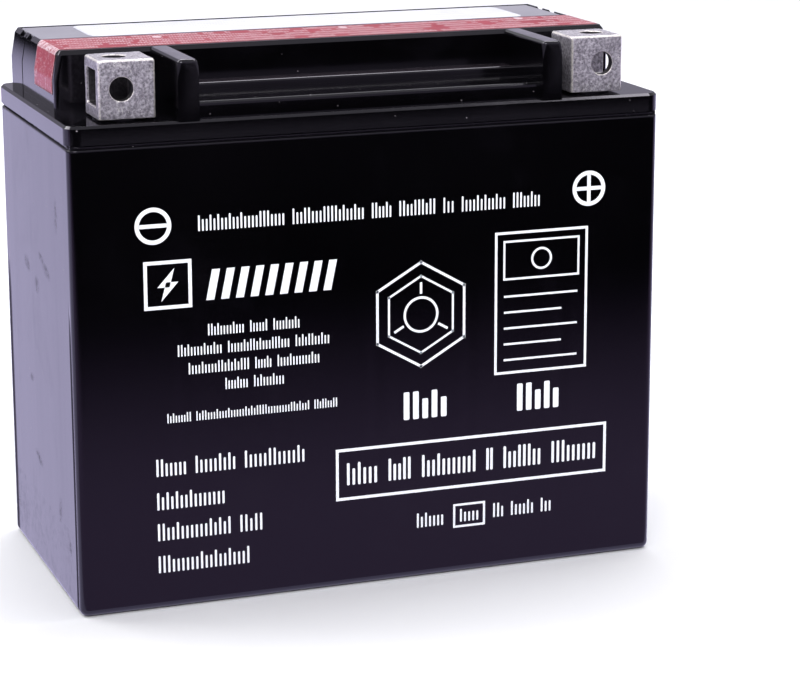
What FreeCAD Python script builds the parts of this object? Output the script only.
import FreeCAD, Part
import os
import math
from FreeCAD import Vector, Placement, Rotation

# Sealed six-cell 12 V lead-acid motorcycle battery.
# Millimetres, +Z up, +X along the long front wall, +Y into the depth.
# The origin is the centre of the footprint, on the surface it stands on.
# The front wall, with both terminals above it, faces -Y.

doc = FreeCAD.newDocument("motorcycle_battery")
sheet = doc.addObject("Spreadsheet::Sheet", "dims")

DIMS = [
    # overall
    ("case_len", 175.0), ("case_wid", 87.0), ("case_high", 155.0),
    # container
    ("tub_inset", 0.4), ("tub_top", 131.8), ("tub_corner", 2.6), ("tub_foot_round", 2.2), ("tub_floor", 3.0),
    ("cell_pitch", 28.4), ("cell_len", 26.9), ("cell_wid", 81.0), ("port_rad", 4.0), ("port_high", 113.5), ("strap_off", 26.0),
    ("crease_high", 87.5), ("crease_deep", 0.8), ("crease_wide", 0.7), ("crease_off", 38.9),
    # cover
    ("rim_low", 133.0), ("rim_top", 138.2), ("rim_corner", 4.2), ("rim_round", 0.7), ("weld_inset", 1.2), ("roof_low", 135.4),
    ("block_front", 14.6), ("block_back", 42.1), ("block_top", 154.75), ("block_foot", 83.7), ("block_crease", 146.6), ("block_head", 82.5),
    ("block_round", 1.2), ("block_corner", 1.4), ("fin_in", 50.4), ("fin_thick", 6.0), ("fin_top", 154.9), ("fin_front", 43.2), ("fin_round", 1.5),
    ("deck_front", 41.0), ("deck_top", 142.9), ("deck_round", 1.3), ("ledge_front", 20.5), ("ledge_top", 144.9), ("ledge_round", 0.8),
    ("tray_half", 81.2), ("tray_front", 12.0), ("tray_back", 40.8), ("tray_floor", 148.3), ("well_rad", 6.2), ("well_off", 26.4),
    ("well_wall", 1.6), ("well_low", 139.2), ("head_roof", 146.3), ("band_roof", 152.4),
    # cap strip
    ("strip_gap", 0.3), ("strip_low", 148.4), ("strip_seam", 153.2), ("strip_top", 154.6), ("strip_wall", 1.6), ("strip_floor", 150.0),
    ("plug_rad", 5.9), ("plug_low", 140.5), ("plug_bore", 3.3), ("ring_high", 144.0), ("ring_mid", 5.35), ("ring_wire", 0.8),
    ("boss_rad", 3.2), ("boss_top", 151.6), ("vent_rad", 1.1),
    ("cap_rad", 4.4), ("cap_bore", 3.28), ("cap_low", 150.45), ("cap_seat", 151.65), ("cap_top", 152.55),
    ("disc_rad", 3.1), ("disc_low", 146.0), ("disc_thick", 2.2),
    # terminals
    ("term_mid", 69.3), ("term_wide", 16.0), ("term_front", 38.7), ("term_deep", 15.4), ("term_low", 138.8), ("term_skin", 3.0),
    ("nut_width", 10.2), ("nut_deep", 11.8), ("nut_low", 142.0), ("bolt_rad", 3.3), ("bolt_off", 1.5), ("term_round", 0.9),
    ("post_rad", 5.0), ("post_low", 110.0), ("post_off", 29.0), ("seal_rad", 7.6), ("seal_low", 136.4),
    # plates
    ("plate_half", 38.0), ("plate_low", 8.0), ("plate_top", 98.0), ("pos_thick", 2.2), ("neg_thick", 1.5), ("mat_thick", 0.6),
    ("mat_half", 39.5), ("mat_low", 5.5), ("mat_top", 101.0), ("lug_wide", 10.0), ("strap_low", 105.0), ("strap_top", 110.0),
    ("strap_wide", 16.0), ("tomb_thick", 2.6), ("tomb_top", 119.0), ("tomb_wide", 13.0),
    # stickers
    ("skin", 0.12),
]
VAL = {}
for i, (alias, number) in enumerate(DIMS):
    cell = "A%d" % (i + 1)
    sheet.set(cell, str(number))
    sheet.setAlias(cell, alias)
    VAL[alias] = number
doc.recompute()


class Q:
    """A length that knows both its number and its expression on the sheet."""

    def __init__(self, number, text):
        self.n = float(number)
        self.t = text

    @staticmethod
    def of(other):
        return other if isinstance(other, Q) else Q(other, "%.6g" % other)

    def __add__(self, o):
        o = Q.of(o)
        return Q(self.n + o.n, "(%s + %s)" % (self.t, o.t))

    def __radd__(self, o):
        return Q.of(o) + self

    def __sub__(self, o):
        o = Q.of(o)
        return Q(self.n - o.n, "(%s - %s)" % (self.t, o.t))

    def __rsub__(self, o):
        return Q.of(o) - self

    def __mul__(self, o):
        o = Q.of(o)
        return Q(self.n * o.n, "(%s * %s)" % (self.t, o.t))

    __rmul__ = __mul__

    def __truediv__(self, o):
        o = Q.of(o)
        return Q(self.n / o.n, "(%s / %s)" % (self.t, o.t))

    def __neg__(self):
        return Q(-self.n, "(0 - %s)" % self.t)


def d(alias):
    return Q(VAL[alias], "dims.%s" % alias)


def bind(obj, prop, q, unit=" * 1 mm"):
    q = Q.of(q)
    obj.setExpression(prop, q.t + unit)


NODES = []


def body(name):
    b = doc.addObject("PartDesign::Body", name)
    b.Label = name
    b.AllowCompound = True
    NODES.append(b)
    return b


def plane(b, role):
    for f in b.Origin.OriginFeatures:
        if f.Role == role:
            return f
    raise RuntimeError(role)


# the three sketch planes: which model axes the sketch's two axes follow, and which way its normal looks
#   XY_Plane: sketch x = +X, sketch y = +Y, normal = +Z
#   XZ_Plane: sketch x = +X, sketch y = +Z, normal = -Y
#   YZ_Plane: sketch x = +Y, sketch y = +Z, normal = +X
def sketch(b, role, off=0.0, name="sk"):
    s = b.newObject("Sketcher::SketchObject", name)
    s.AttachmentSupport = [(plane(b, role), "")]
    s.MapMode = "FlatFace"
    off = Q.of(off)
    s.AttachmentOffset = Placement(Vector(0, 0, off.n), Rotation())
    s.setExpression("AttachmentOffset.Base.z", off.t + " * 1 mm")
    return s


def pin_point(s, geo, pos, x, y):
    """Holds one vertex at (x, y) from the sketch's origin."""
    x, y = Q.of(x), Q.of(y)
    import Sketcher
    for kind, q in (("DistanceX", x), ("DistanceY", y)):
        if abs(q.n) < 1e-9 and not q.t.startswith("("):
            s.addConstraint(Sketcher.Constraint("PointOnObject", geo, pos, -2 if kind == "DistanceX" else -1))
            continue
        k = s.addConstraint(Sketcher.Constraint(kind, -1, 1, geo, pos, q.n))
        s.setExpression("Constraints[%d]" % k, q.t + " * 1 mm")


def poly(s, pts):
    """A closed outline with every corner held from the origin."""
    import Sketcher
    pts = [(Q.of(x), Q.of(y)) for x, y in pts]
    n = len(pts)
    first = None
    ids = []
    for i in range(n):
        a, c = pts[i], pts[(i + 1) % n]
        g = s.addGeometry(Part.LineSegment(Vector(a[0].n, a[1].n, 0), Vector(c[0].n, c[1].n, 0)), False)
        ids.append(g)
    for i in range(n):
        s.addConstraint(Sketcher.Constraint("Coincident", ids[i], 2, ids[(i + 1) % n], 1))
    for i in range(n):
        pin_point(s, ids[i], 1, pts[i][0], pts[i][1])


def rect(s, x0, y0, x1, y1):
    poly(s, [(x0, y0), (x1, y0), (x1, y1), (x0, y1)])


def outline(s, pts):
    """A closed outline of axis-parallel sides: each corner is (x, y, radius), softened by three short flats; radius 0 keeps it sharp."""
    pts = [(Q.of(p[0]), Q.of(p[1]), Q.of(p[2])) for p in pts]
    n = len(pts)
    sgn = lambda v: (v > 1e-9) - (v < -1e-9)
    out = []
    for i in range(n):
        x, y, r = pts[i]
        px, py = pts[i - 1][0], pts[i - 1][1]
        qx, qy = pts[(i + 1) % n][0], pts[(i + 1) % n][1]
        if r.n < 1e-6:
            out.append((x, y))
            continue
        ux, uy = sgn(px.n - x.n), sgn(py.n - y.n)
        vx, vy = sgn(qx.n - x.n), sgn(qy.n - y.n)
        for k in range(4):
            w = math.radians(30 * k)
            fu, fv = 1 - math.sin(w), 1 - math.cos(w)
            out.append((x + r * (ux * fu + vx * fv), y + r * (uy * fu + vy * fv)))
    area = sum(out[k][0].n * out[(k + 1) % len(out)][1].n - out[(k + 1) % len(out)][0].n * out[k][1].n for k in range(len(out)))
    if area < 0:
        out.reverse()
    poly(s, out)


def disc(s, x, y, rad):
    import Sketcher
    x, y, rad = Q.of(x), Q.of(y), Q.of(rad)
    g = s.addGeometry(Part.Circle(Vector(x.n, y.n, 0), Vector(0, 0, 1), rad.n), False)
    k = s.addConstraint(Sketcher.Constraint("Radius", g, rad.n))
    s.setExpression("Constraints[%d]" % k, rad.t + " * 1 mm")
    pin_point(s, g, 3, x, y)


def round_rect(s, hx, y_low, y_high, rad):
    """A rectangle with rounded corners, centred on x = 0."""
    import Sketcher
    hx, y_low, y_high, rad = Q.of(hx), Q.of(y_low), Q.of(y_high), Q.of(rad)
    a, lo, hi, r = hx.n, y_low.n, y_high.n, rad.n
    L = lambda p, q: s.addGeometry(Part.LineSegment(Vector(p[0], p[1], 0), Vector(q[0], q[1], 0)), False)
    bot = L((-a + r, lo), (a - r, lo))
    rgt = L((a, lo + r), (a, hi - r))
    top = L((a - r, hi), (-a + r, hi))
    lft = L((-a, hi - r), (-a, lo + r))
    arc = lambda x, y, t0: s.addGeometry(
        Part.ArcOfCircle(Part.Circle(Vector(x, y, 0), Vector(0, 0, 1), r), math.radians(t0), math.radians(t0 + 90)), False)
    a_br = arc(a - r, lo + r, 270)
    a_tr = arc(a - r, hi - r, 0)
    a_tl = arc(-a + r, hi - r, 90)
    a_bl = arc(-a + r, lo + r, 180)
    for l0, ar, l1 in ((bot, a_br, rgt), (rgt, a_tr, top), (top, a_tl, lft), (lft, a_bl, bot)):
        s.addConstraint(Sketcher.Constraint("Tangent", l0, 2, ar, 1))
        s.addConstraint(Sketcher.Constraint("Tangent", ar, 2, l1, 1))
    for g in (bot, top):
        s.addConstraint(Sketcher.Constraint("Horizontal", g))
    for g in (rgt, lft):
        s.addConstraint(Sketcher.Constraint("Vertical", g))
    for g in (a_tr, a_tl, a_bl):
        s.addConstraint(Sketcher.Constraint("Equal", a_br, g))
    k = s.addConstraint(Sketcher.Constraint("Radius", a_br, r))
    s.setExpression("Constraints[%d]" % k, rad.t + " * 1 mm")
    for geo, kind, q in ((rgt, "DistanceX", hx), (lft, "DistanceX", -hx), (top, "DistanceY", y_high), (bot, "DistanceY", y_low)):
        k = s.addConstraint(Sketcher.Constraint(kind, -1, 1, geo, 1, q.n))
        s.setExpression("Constraints[%d]" % k, q.t + " * 1 mm")


def pad(b, s, length, rev=False, mid=False, name="pad"):
    f = b.newObject("PartDesign::Pad", name)
    f.Profile = s
    bind(f, "Length", length)
    f.Reversed = rev
    f.Midplane = mid
    f.Refine = False
    doc.recompute()
    return f


def cut(b, s, length, rev=False, mid=False, name="pocket"):
    before = b.Tip.Shape.Volume
    f = b.newObject("PartDesign::Pocket", name)
    f.Profile = s
    bind(f, "Length", length)
    f.Reversed = rev
    f.Midplane = mid
    f.Refine = False
    doc.recompute()
    if not f.Shape.Volume < before - 1e-3:
        raise RuntimeError("pocket %s in %s removed nothing" % (name, b.Label))
    return f


def row(b, feat, s, count, pitch, name="row"):
    """Repeats a feature along the sketch's own horizontal axis, which is +X."""
    f = b.newObject("PartDesign::LinearPattern", name)
    f.Originals = [feat]
    f.Direction = (s, ["H_Axis"])
    f.Occurrences = count
    f.Refine = False
    bind(f, "Length", Q.of(pitch) * (count - 1))
    b.Tip = f
    doc.recompute()
    return f


def soften(b, pick, rad, name="round", kind="Fillet"):
    """Rounds every edge of the present tip that the test picks."""
    base = b.Tip
    edges = ["Edge%d" % (i + 1) for i, e in enumerate(base.Shape.Edges) if pick(e)]
    if not edges:
        raise RuntimeError("no edges for %s in %s" % (name, b.Label))
    f = b.newObject("PartDesign::" + kind, name)
    f.Base = (base, edges)
    bind(f, "Radius" if kind == "Fillet" else "Size", rad)
    b.Tip = f
    doc.recompute()
    return f


def ends(e):
    return [v.Point for v in e.Vertexes]


def on(e, axis, value, tol=1e-3):
    """True when the whole edge lies in the plane axis = value."""
    return all(abs(getattr(p, axis) - value) < tol for p in ends(e)) and abs(getattr(e.CenterOfMass, axis) - value) < tol


HALF_L = d("case_len") / 2
HALF_W = d("case_wid") / 2
P = d("cell_pitch")
CELLS = 6
FIRST = P * (-2.5)  # centre of the first cell along X

# ---------------------------------------------------------------- container
b = body("container")
s = sketch(b, "XY_Plane", 0)
round_rect(s, HALF_L - d("tub_inset"), -(HALF_W - d("tub_inset")), HALF_W - d("tub_inset"), d("tub_corner"))
pad(b, s, d("tub_top"))
soften(b, lambda e: on(e, "z", 0.0), d("tub_foot_round"), "foot_round")
s = sketch(b, "XY_Plane", d("tub_top"))
rect(s, FIRST - d("cell_len") / 2, -d("cell_wid") / 2, FIRST + d("cell_len") / 2, d("cell_wid") / 2)
f = cut(b, s, d("tub_top") - d("tub_floor"), name="cell")
row(b, f, s, CELLS, P, "cells")
# ports through the partitions, behind for the first, third and fifth, in front for the second and fourth
for first_wall, count, side in ((1, 3, 1.0), (2, 2, -1.0)):
    for j in range(count):
        wall_at = P * (first_wall + 2 * j - 3)
        s = sketch(b, "YZ_Plane", wall_at)
        disc(s, d("strap_off") * side, d("port_high"), d("port_rad"))
        cut(b, s, (P - d("cell_len")) + 0.4, mid=True, name="port")
# moulding creases near the corners of the two end walls, deepening towards the foot
for side in (-1.0, 1.0):
    s = sketch(b, "XZ_Plane", d("crease_off") * side)
    face = HALF_L - d("tub_inset")
    for hand in (-1.0, 1.0):
        poly(s, [((face + 0.4) * hand, d("crease_high")), ((face - d("crease_deep")) * hand, Q.of(-1.0)), ((face + 0.4) * hand, Q.of(-1.0))])
    cut(b, s, d("crease_wide"), mid=True, name="crease")

# ---------------------------------------------------------------- cover
b = body("cover")
s = sketch(b, "XY_Plane", d("tub_top"))
rect(s, -(HALF_L - d("weld_inset")), -(HALF_W - d("weld_inset")), HALF_L - d("weld_inset"), HALF_W - d("weld_inset"))
pad(b, s, d("rim_low") + 1.0 - d("tub_top"), name="weld_land")
s = sketch(b, "XY_Plane", d("rim_low"))
round_rect(s, HALF_L, -HALF_W, HALF_W, d("rim_corner"))
pad(b, s, d("rim_top") - d("rim_low"), name="rim")
soften(b, lambda e: on(e, "z", VAL["rim_top"]), d("rim_round"), "rim_edge", "Chamfer")
# raised block along the rear, its two end faces leaning in above a crease
s = sketch(b, "XY_Plane", d("rim_top") - 2.0)
round_rect(s, d("block_foot"), -d("block_front"), d("block_back"), d("block_corner"))
pad(b, s, d("block_crease") - d("rim_top") + 2.0, name="block_foot")
low = sketch(b, "XY_Plane", d("block_crease"))
round_rect(low, d("block_foot"), -d("block_front"), d("block_back"), d("block_corner"))
high = sketch(b, "XY_Plane", d("block_top") - d("block_round"))
round_rect(high, d("block_head"), -d("block_front"), d("block_back"), d("block_corner"))
f = b.newObject("PartDesign::AdditiveLoft", "block_head")
f.Profile = low
f.Sections = [high]
f.Ruled = True
f.Refine = False
doc.recompute()
# the softened top edge of the block
low = sketch(b, "XY_Plane", d("block_top") - d("block_round"))
round_rect(low, d("block_head"), -d("block_front"), d("block_back"), d("block_corner"))
high = sketch(b, "XY_Plane", d("block_top"))
round_rect(high, d("block_head") - d("block_round") * 0.8, -d("block_front") + d("block_round") * 0.8, d("block_back") - d("block_round") * 0.8, d("block_corner") - d("block_round") * 0.8)
f = b.newObject("PartDesign::AdditiveLoft", "block_edge")
f.Profile = low
f.Sections = [high]
f.Ruled = True
f.Refine = False
doc.recompute()
# the two fin walls that divide the terminal bays from the middle bay
s = sketch(b, "XZ_Plane", d("fin_front"))
for hand in (-1.0, 1.0):
    x0, x1 = d("fin_in") * hand, (d("fin_in") + d("fin_thick")) * hand
    outline(s, [(x0, d("rim_top") - 2.0, 0), (x0, d("fin_top"), d("fin_round")), (x1, d("fin_top"), d("fin_round")), (x1, d("rim_top") - 2.0, 0)])
pad(b, s, d("fin_front") - d("block_front") + 0.5, rev=True, name="fins")
# the raised deck of the middle bay with its ledge against the block
s = sketch(b, "YZ_Plane", 0)
outline(s, [(-d("deck_front"), d("rim_top") - 2.0, 0), (-d("deck_front"), d("deck_top"), d("deck_round")), (-d("ledge_front"), d("deck_top"), 0),
            (-d("ledge_front"), d("ledge_top"), d("ledge_round")), (Q.of(-13.6), d("ledge_top"), 0), (Q.of(-13.6), d("rim_top") - 2.0, 0)])
pad(b, s, (d("fin_in") + 0.5) * 2, mid=True, name="deck")
# the tray for the cap strip
s = sketch(b, "XY_Plane", d("block_top") + 1.0)
rect(s, -d("tray_half"), d("tray_front"), d("tray_half"), d("tray_back"))
cut(b, s, d("block_top") + 1.0 - d("tray_floor"), name="tray")
# vent notches in the tray's end walls, and the slot that runs down each end face
s = sketch(b, "XY_Plane", d("block_top") + 1.0)
for hand in (-1.0, 1.0):
    for y0, y1 in ((19.6, 24.4), (28.8, 33.6)):
        rect(s, (d("tray_half") - 1.0) * hand, Q.of(y0), (d("block_foot") + 1.0) * hand, Q.of(y1))
cut(b, s, Q.of(1.0 + 1.5), name="vent_notches")
s = sketch(b, "XY_Plane", d("rim_top"))
for hand in (-1.0, 1.0):
    rect(s, (d("block_head") - 0.65) * hand, d("well_off") - 0.45, (d("block_foot") + 1.0) * hand, d("well_off") + 0.45)
cut(b, s, Q.of(17.0), rev=True, name="vent_slots")
# hollow inside: over each cell, up under the tray, and up under the band
s = sketch(b, "XY_Plane", d("tub_top"))
rect(s, FIRST - d("cell_len") / 2, -d("cell_wid") / 2, FIRST + d("cell_len") / 2, d("cell_wid") / 2)
f = cut(b, s, d("roof_low") - d("tub_top"), rev=True, name="cell_roof")
row(b, f, s, CELLS, P, "cell_roofs")
s = sketch(b, "XY_Plane", d("roof_low") - 0.5)
rect(s, FIRST - 10.6, Q.of(-10.3), FIRST + 10.6, Q.of(39.9))
f = cut(b, s, d("head_roof") - d("roof_low") + 0.5, rev=True, name="head_space")
row(b, f, s, CELLS, P, "head_spaces")
s = sketch(b, "XY_Plane", d("head_roof") - 0.5)
rect(s, FIRST - 9.8, Q.of(-10.3), FIRST + 9.8, Q.of(9.8))
f = cut(b, s, d("band_roof") - d("head_roof") + 0.5, rev=True, name="band_space")
row(b, f, s, CELLS, P, "band_spaces")
# filler wells: a collar under the tray floor and the bore through it
s = sketch(b, "XY_Plane", d("head_roof") + 0.5)
disc(s, FIRST, d("well_off"), d("well_rad") + d("well_wall"))
f = pad(b, s, d("head_roof") + 0.5 - d("well_low"), rev=True, name="well_collar")
row(b, f, s, CELLS, P, "well_collars")
s = sketch(b, "XY_Plane", d("tray_floor") + 0.5)
disc(s, FIRST, d("well_off"), d("well_rad"))
f = cut(b, s, d("tray_floor") + 0.5 - d("well_low") + 1.0, name="well_bore")
row(b, f, s, CELLS, P, "well_bores")
# bosses, resin wells and bores for the two terminal posts
for hand in (-1.0, 1.0):
    s = sketch(b, "XY_Plane", d("roof_low") + 0.5)
    disc(s, d("term_mid") * hand, -d("post_off"), d("seal_rad") + 1.6)
    pad(b, s, Q.of(3.4), rev=True, name="post_boss")
    s = sketch(b, "XY_Plane", d("rim_top") + 0.5)
    disc(s, d("term_mid") * hand, -d("post_off"), d("seal_rad"))
    cut(b, s, d("rim_top") + 0.5 - d("seal_low"), name="resin_well")
    s = sketch(b, "XY_Plane", d("rim_top") + 0.5)
    disc(s, d("term_mid") * hand, -d("post_off"), d("post_rad") + 0.1)
    cut(b, s, Q.of(8.0), name="post_bore")

# ---------------------------------------------------------------- cap strip
b = body("plug_strip")
x_s = d("tray_half") - d("strip_gap")
y_f, y_b = d("tray_front") + d("strip_gap"), d("tray_back") - d("strip_gap")
s = sketch(b, "XY_Plane", d("strip_low"))
rect(s, -x_s, y_f, x_s, y_b)
pad(b, s, d("strip_seam") - d("strip_low"), name="trough")
soften(b, lambda e: e.BoundBox.ZLength > 4, 0.8, "end_round")
s = sketch(b, "XY_Plane", d("strip_seam"))
w = d("strip_wall")
rect(s, -(x_s - w), y_f + w, x_s - w, y_b - w)
cut(b, s, d("strip_seam") - d("strip_floor"), name="gas_chamber")
s = sketch(b, "XY_Plane", d("strip_floor") - 0.5)
disc(s, FIRST, d("well_off"), d("boss_rad"))
f = pad(b, s, d("boss_top") - d("strip_floor") + 0.5, name="vent_boss")
row(b, f, s, CELLS, P, "vent_bosses")
s = sketch(b, "XY_Plane", d("strip_low") + 0.5)
disc(s, FIRST, d("well_off"), d("plug_rad"))
f = pad(b, s, d("strip_low") + 0.5 - d("plug_low"), rev=True, name="plug")
row(b, f, s, CELLS, P, "plugs")
s = sketch(b, "XY_Plane", d("plug_low"))
disc(s, FIRST, d("well_off"), d("plug_bore"))
f = cut(b, s, d("disc_low") + d("disc_thick") - d("plug_low"), rev=True, name="plug_bore")
row(b, f, s, CELLS, P, "plug_bores")
s = sketch(b, "XY_Plane", d("boss_top") + 0.2)
disc(s, FIRST, d("well_off"), d("vent_rad"))
f = cut(b, s, Q.of(5.0), name="vent")
row(b, f, s, CELLS, P, "vents")
# ring grooves round the plugs
s = sketch(b, "XY_Plane", d("ring_high") - d("ring_wire"))
disc(s, FIRST, d("well_off"), d("plug_rad") + 0.4)
disc(s, FIRST, d("well_off"), d("ring_mid") - d("ring_wire"))
f = cut(b, s, d("ring_wire") * 2, rev=True, name="ring_groove")
row(b, f, s, CELLS, P, "ring_grooves")
# small gas slots through both ends of the trough, in line with the notches of the tray
s = sketch(b, "XY_Plane", d("strip_seam"))
for hand in (-1.0, 1.0):
    rect(s, (x_s - w - 0.5) * hand, Q.of(30.2), (x_s + 0.5) * hand, Q.of(32.2))
cut(b, s, Q.of(0.9), name="gas_slots")

b = body("plug_strip_top")
s = sketch(b, "XY_Plane", d("strip_seam"))
rect(s, -x_s, y_f, x_s, y_b)
pad(b, s, d("strip_top") - d("strip_seam"), name="plate")
soften(b, lambda e: e.BoundBox.ZLength > 1 and e.BoundBox.XLength < 0.1, 0.8, "end_round")
soften(b, lambda e: on(e, "z", VAL["strip_top"]), 0.45, "top_bevel", "Chamfer")

# ---------------------------------------------------------------- valve caps: one rubber cup over each vent boss
for k in range(CELLS):
    b = body("valve_cap_%d" % (k + 1))
    s = sketch(b, "XZ_Plane", 0)
    poly(s, [(0.0, d("cap_seat")), (d("cap_bore"), d("cap_seat")), (d("cap_bore"), d("cap_low")), (d("cap_rad"), d("cap_low")),
             (d("cap_rad"), d("cap_top") - 0.4), (d("cap_rad") - 0.4, d("cap_top")), (0.0, d("cap_top"))])
    f = b.newObject("PartDesign::Revolution", "turn")
    f.Profile = s
    f.ReferenceAxis = (s, ["V_Axis"])
    f.Angle = 360
    doc.recompute()
    b.Placement = Placement(Vector((VAL["cell_pitch"] * (k - 2.5)), VAL["well_off"], 0), Rotation())
    b.setExpression("Placement.Base.x", (P * (k - 2.5)).t + " * 1 mm")
    b.setExpression("Placement.Base.y", d("well_off").t + " * 1 mm")

# ---------------------------------------------------------------- rings and discs of the plugs
b = body("plug_seals")
s = sketch(b, "XZ_Plane", -d("well_off"))
disc(s, FIRST + d("ring_mid"), d("ring_high"), d("ring_wire") - 0.02)
axis = s.addGeometry(Part.LineSegment(Vector(FIRST.n, 140, 0), Vector(FIRST.n, 150, 0)), True)
pin_point(s, axis, 1, FIRST, Q.of(140.0))
pin_point(s, axis, 2, FIRST, Q.of(150.0))
f = b.newObject("PartDesign::Revolution", "ring")
f.Profile = s
f.ReferenceAxis = (s, ["Axis0"])
f.Angle = 360
doc.recompute()
row(b, f, s, CELLS, P, "rings")

b = body("flame_arrestors")
s = sketch(b, "XY_Plane", d("disc_low"))
disc(s, FIRST, d("well_off"), d("disc_rad"))
f = pad(b, s, d("disc_thick"), name="disc")
row(b, f, s, CELLS, P, "discs")

# ---------------------------------------------------------------- terminals: hollow lead cubes, each cast with its post
for name, hand in (("terminal_negative", -1.0), ("terminal_positive", 1.0)):
    b = body(name)
    mid = d("term_mid") * hand
    out = mid + d("term_wide") / 2 * hand     # the outer side face
    ins = mid - d("term_wide") / 2 * hand     # the inner side face
    s = sketch(b, "XY_Plane", d("term_low"))
    rect(s, ins, -d("term_front"), out, -(d("term_front") - d("term_deep")))
    pad(b, s, d("case_high") - d("term_low"), name="cube")
    soften(b, lambda e: e.BoundBox.ZLength > 4 or on(e, "z", VAL["case_high"]), d("term_round"), "edge_round")
    s = sketch(b, "XY_Plane", d("term_low") + 0.5)
    disc(s, mid, -d("post_off"), d("post_rad"))
    pad(b, s, d("term_low") + 0.5 - d("post_low"), rev=True, name="post")
    # nut pocket, open on the outer side
    s = sketch(b, "YZ_Plane", out + 1.0 * hand)
    y0 = -(d("term_front") - d("term_skin"))
    rect(s, y0, d("nut_low"), y0 + d("nut_width"), d("case_high") - d("term_skin"))
    cut(b, s, d("nut_deep") + 1.0, rev=(hand < 0), name="nut_pocket")
    # bolt holes through the front wall and through the top wall
    at = mid + d("bolt_off") * hand
    s = sketch(b, "XZ_Plane", d("term_front") + 1.0)
    disc(s, at, d("nut_low") + (d("case_high") - d("term_skin") - d("nut_low")) / 2, d("bolt_rad"))
    cut(b, s, d("term_skin") + 2.0, name="front_hole")
    s = sketch(b, "XY_Plane", d("case_high") + 1.0)
    disc(s, at, y0 + d("nut_width") / 2, d("bolt_rad"))
    cut(b, s, d("term_skin") + 2.0, name="top_hole")

    b = body(name.replace("terminal", "terminal_seal"))
    s = sketch(b, "XY_Plane", d("seal_low"))
    disc(s, mid, -d("post_off"), d("seal_rad"))
    disc(s, mid, -d("post_off"), d("post_rad"))
    pad(b, s, d("term_low") - d("seal_low"), name="resin_ring")

# ---------------------------------------------------------------- plate groups, one pair per cell
GAP = d("mat_thick")
PITCH = d("neg_thick") + d("pos_thick") + GAP * 2


def box_at(x0, y0, z0, x1, y1, z1, name):
    """A Part::Box from its two corners, bound to the sheet."""
    o = doc.addObject("Part::Box", name)
    q = [Q.of(v) for v in (x0, y0, z0, x1, y1, z1)]
    bind(o, "Length", q[3] - q[0])
    bind(o, "Width", q[4] - q[1])
    bind(o, "Height", q[5] - q[2])
    for ax, v in zip("xyz", q[:3]):
        o.setExpression("Placement.Base." + ax, v.t + " * 1 mm")
    return o


def joined(kind, shapes, name):
    o = doc.addObject("Part::" + kind, name)
    if kind == "MultiFuse":
        o.Shapes = shapes
        o.Refine = True
    else:
        o.Links = shapes
    o.Label = name
    NODES.append(o)
    return o


for k in range(CELLS):
    mid = P * (k - 2.5)
    start = mid - (d("neg_thick") * 6 + d("pos_thick") * 5 + GAP * 10) / 2
    # the straps change sides from cell to cell, so that neighbours of opposite polarity meet
    neg_side = -1.0 if k % 2 == 0 else 1.0
    for kind, side, count in (("negative", neg_side, 6), ("positive", -neg_side, 5)):
        parts = []
        for i in range(count):
            if kind == "negative":
                x0 = start + PITCH * i
                x1 = x0 + d("neg_thick")
            else:
                x0 = start + PITCH * i + d("neg_thick") + GAP
                x1 = x0 + d("pos_thick")
            parts.append(box_at(x0, -d("plate_half"), d("plate_low"), x1, d("plate_half"), d("plate_top"), "grid"))
            lo = d("strap_off") * side - d("lug_wide") / 2
            parts.append(box_at(x0, lo, d("plate_top") - 1.0, x1, lo + d("lug_wide"), d("strap_low") + 1.0, "lug"))
        lo = d("strap_off") * side - d("strap_wide") / 2
        half = d("cell_len") / 2
        # towards which partition this strap turns up: the next cell for positive, the one before for negative
        turn = 1.0 if kind == "positive" else -1.0
        outer = (k == 0 and kind == "negative") or (k == CELLS - 1 and kind == "positive")
        a, c = mid - (half - 0.4), mid + (half - 0.4)
        if not outer:
            if turn > 0:
                c = mid + half
            else:
                a = mid - half
        parts.append(box_at(a, lo, d("strap_low"), c, lo + d("strap_wide"), d("strap_top"), "strap"))
        if not outer:
            t0 = d("strap_off") * side - d("tomb_wide") / 2
            if turn > 0:
                parts.append(box_at(c - d("tomb_thick"), t0, d("strap_top") - 1.0, c, t0 + d("tomb_wide"), d("tomb_top"), "upright"))
            else:
                parts.append(box_at(a, t0, d("strap_top") - 1.0, a + d("tomb_thick"), t0 + d("tomb_wide"), d("tomb_top"), "upright"))
        joined("MultiFuse", parts, "%s_group_%d" % (kind, k + 1))
    mats = []
    for i in range(10):
        x0 = start + PITCH * (i // 2) + d("neg_thick") + (d("pos_thick") + GAP) * (i % 2)
        mats.append(box_at(x0, -d("mat_half"), d("mat_low"), x0 + GAP, d("mat_half"), d("mat_top"), "mat"))
    joined("Compound", mats, "separators_%d" % (k + 1))

# lead slugs welded through the ports of the partitions
slugs = []
for w_i in range(1, CELLS):
    o = doc.addObject("Part::Cylinder", "slug")
    bind(o, "Radius", d("port_rad") - 0.05)
    bind(o, "Height", P - d("cell_len"))
    side = 1.0 if w_i % 2 == 1 else -1.0
    x0 = P * (w_i - 3) - (P - d("cell_len")) / 2
    o.Placement = Placement(Vector(x0.n, VAL["strap_off"] * side, VAL["port_high"]), Rotation(Vector(0, 1, 0), 90))
    o.setExpression("Placement.Base.x", x0.t + " * 1 mm")
    o.setExpression("Placement.Base.y", (d("strap_off") * side).t + " * 1 mm")
    o.setExpression("Placement.Base.z", d("port_high").t + " * 1 mm")
    slugs.append(o)
joined("Compound", slugs, "intercell_welds")

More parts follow.
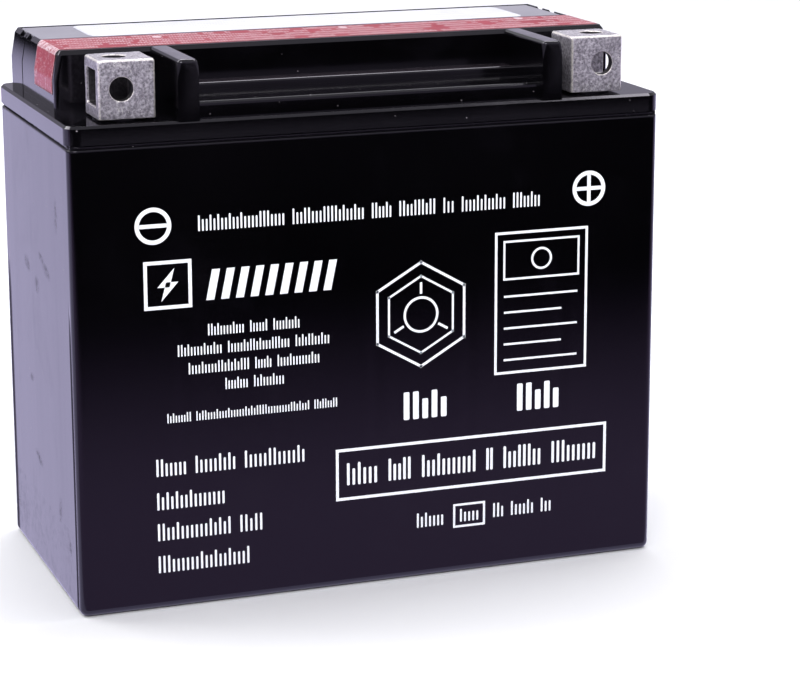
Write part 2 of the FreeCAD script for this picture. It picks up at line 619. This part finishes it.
# ---------------------------------------------------------------- stickers
b = body("strip_label")
s = sketch(b, "XY_Plane", d("strip_top"))
poly(s, [(Q.of(-63.4), y_f + 0.9), (Q.of(66.0), y_f + 0.9), (Q.of(68.6), y_f + 3.6), (Q.of(68.6), y_b - 4.4), (Q.of(66.0), y_b - 1.8),
         (Q.of(-63.4), y_b - 1.8), (Q.of(-66.2), y_b - 4.4), (Q.of(-66.2), y_f + 3.6)])
pad(b, s, d("skin"), name="film")

b = body("band_label")
# the flat run along the band
s = sketch(b, "XY_Plane", d("block_top"))
rect(s, -(d("block_head") - d("block_round")), Q.of(-12.3), d("block_head") - d("block_round"), d("tray_front") - 0.25)
pad(b, s, d("skin"), name="flat_run")
# the tail that folds down over the leaning part of the left end, to below the crease
s = sketch(b, "XZ_Plane", Q.of(11.9))
lean = math.hypot(VAL["block_foot"] - VAL["block_head"], VAL["block_top"] - VAL["block_crease"])
nx, nz = (VAL["block_top"] - VAL["block_crease"]) / lean, (VAL["block_foot"] - VAL["block_head"]) / lean
sk = d("skin")
ax, az = -d("block_head") + d("block_round") + 0.0, d("block_top")
poly(s, [(ax, az), (ax, az + sk), (-d("block_head") - 0.16, az - 0.55), (-d("block_foot") - sk * nx, d("block_crease") + sk * nz * 0.5),
         (-d("block_foot") - sk, Q.of(142.4)), (-d("block_foot"), Q.of(142.4)), (-d("block_foot"), d("block_crease")),
         (-d("block_head") - 0.05, az - 0.58)])
pad(b, s, Q.of(11.9 + 10.6), rev=True, name="folded_tail")

# ---------------------------------------------------------------- checks and export
doc.recompute()
bad = []
for o in doc.Objects:
    if any(w in o.State for w in ("Invalid", "Error")):
        bad.append("%s (%s): %s" % (o.Name, o.Label, o.State))
for o in NODES:
    sh = o.Shape
    if sh.isNull() or not sh.isValid() or not sh.Solids:
        bad.append("%s: null, invalid or without a solid" % o.Label)
if len(set(o.Label for o in NODES)) != len(NODES):
    bad.append("two nodes share a label")
if bad:
    raise RuntimeError("; ".join(bad))

os.makedirs("parts", exist_ok=True)
for o in NODES:
    o.Shape.exportStep("parts/%s.step" % o.Label)
    bb = o.Shape.BoundBox
    print("%-24s solids %2d  vol %9.1f  x %7.2f..%7.2f y %7.2f..%7.2f z %7.2f..%7.2f" % (
        o.Label, len(o.Shape.Solids), o.Shape.Volume, bb.XMin, bb.XMax, bb.YMin, bb.YMax, bb.ZMin, bb.ZMax))
